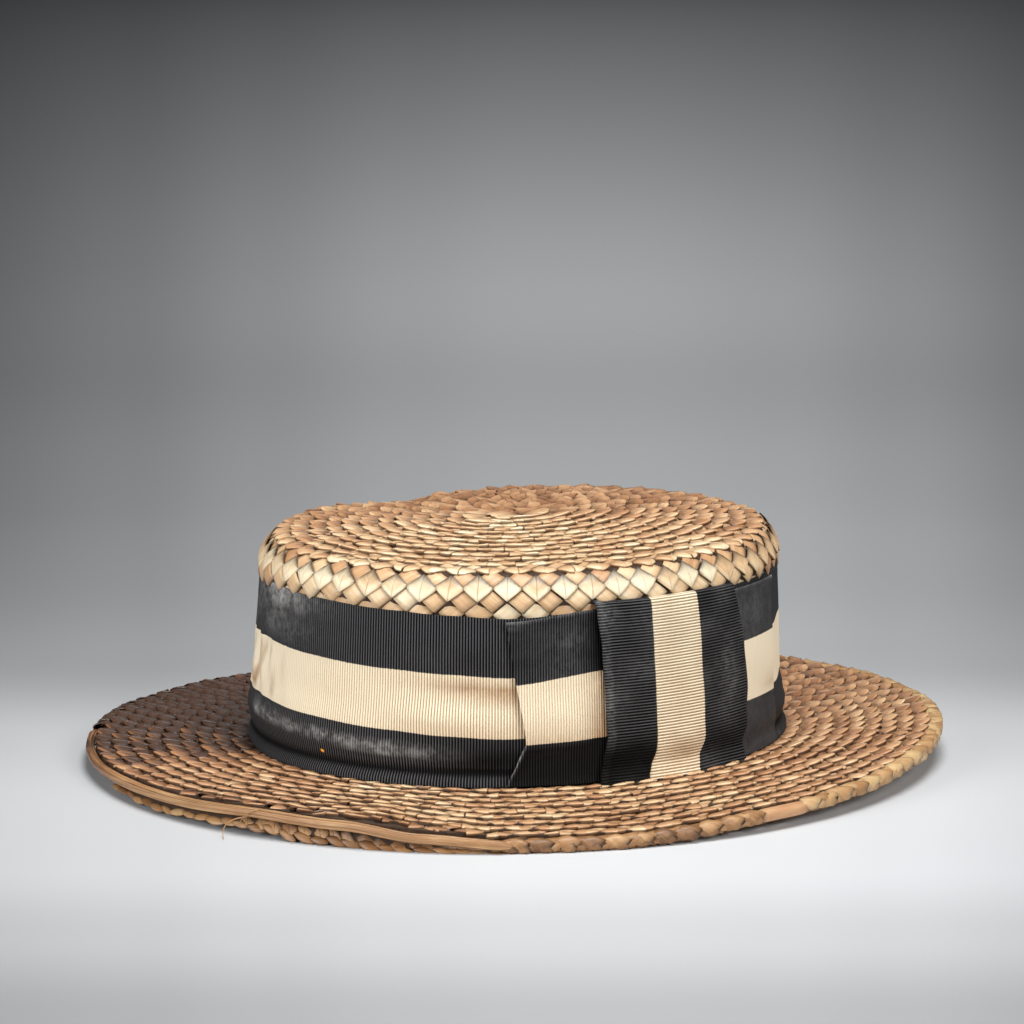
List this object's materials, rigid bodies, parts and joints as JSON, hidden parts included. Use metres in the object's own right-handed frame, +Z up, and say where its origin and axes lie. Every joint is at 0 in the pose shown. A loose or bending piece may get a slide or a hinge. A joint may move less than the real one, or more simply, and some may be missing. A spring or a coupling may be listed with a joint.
{
  "type": "straw boater hat",
  "caption": "Stiff oval straw boater with a flat-topped crown, a warped flat brim of lapped plait rows, and a striped ribbon tied in a flat bow at the side.",
  "frame": {"origin": "centre of the oval brim, on the surface that the hat stands on", "axes": "+X towards the wearer's left, where the bow is; -Y towards the wearer's front; +Z up through the tip"},
  "size_m": [0.3045, 0.3206, 0.0876],
  "materials": {
    "straw": "aged straw plait, satin strands with a dry edge",
    "pale_straw": "paler folded straw plait, dry and frayed",
    "cane": "bare split cane, smooth and brown",
    "ribbon": "ribbed silk ribbon, faded black with one cream stripe"
  },
  "bodies": {
    "root": {"crown": "straw", "brim": "straw", "edge_plait": "pale_straw", "edge_cane": "cane", "loose_plait": "pale_straw", "hat_band": "ribbon", "bow_tail_front": "ribbon", "bow_tail_back": "ribbon", "bow_knot": "ribbon"}
  },
  "joints": []
}
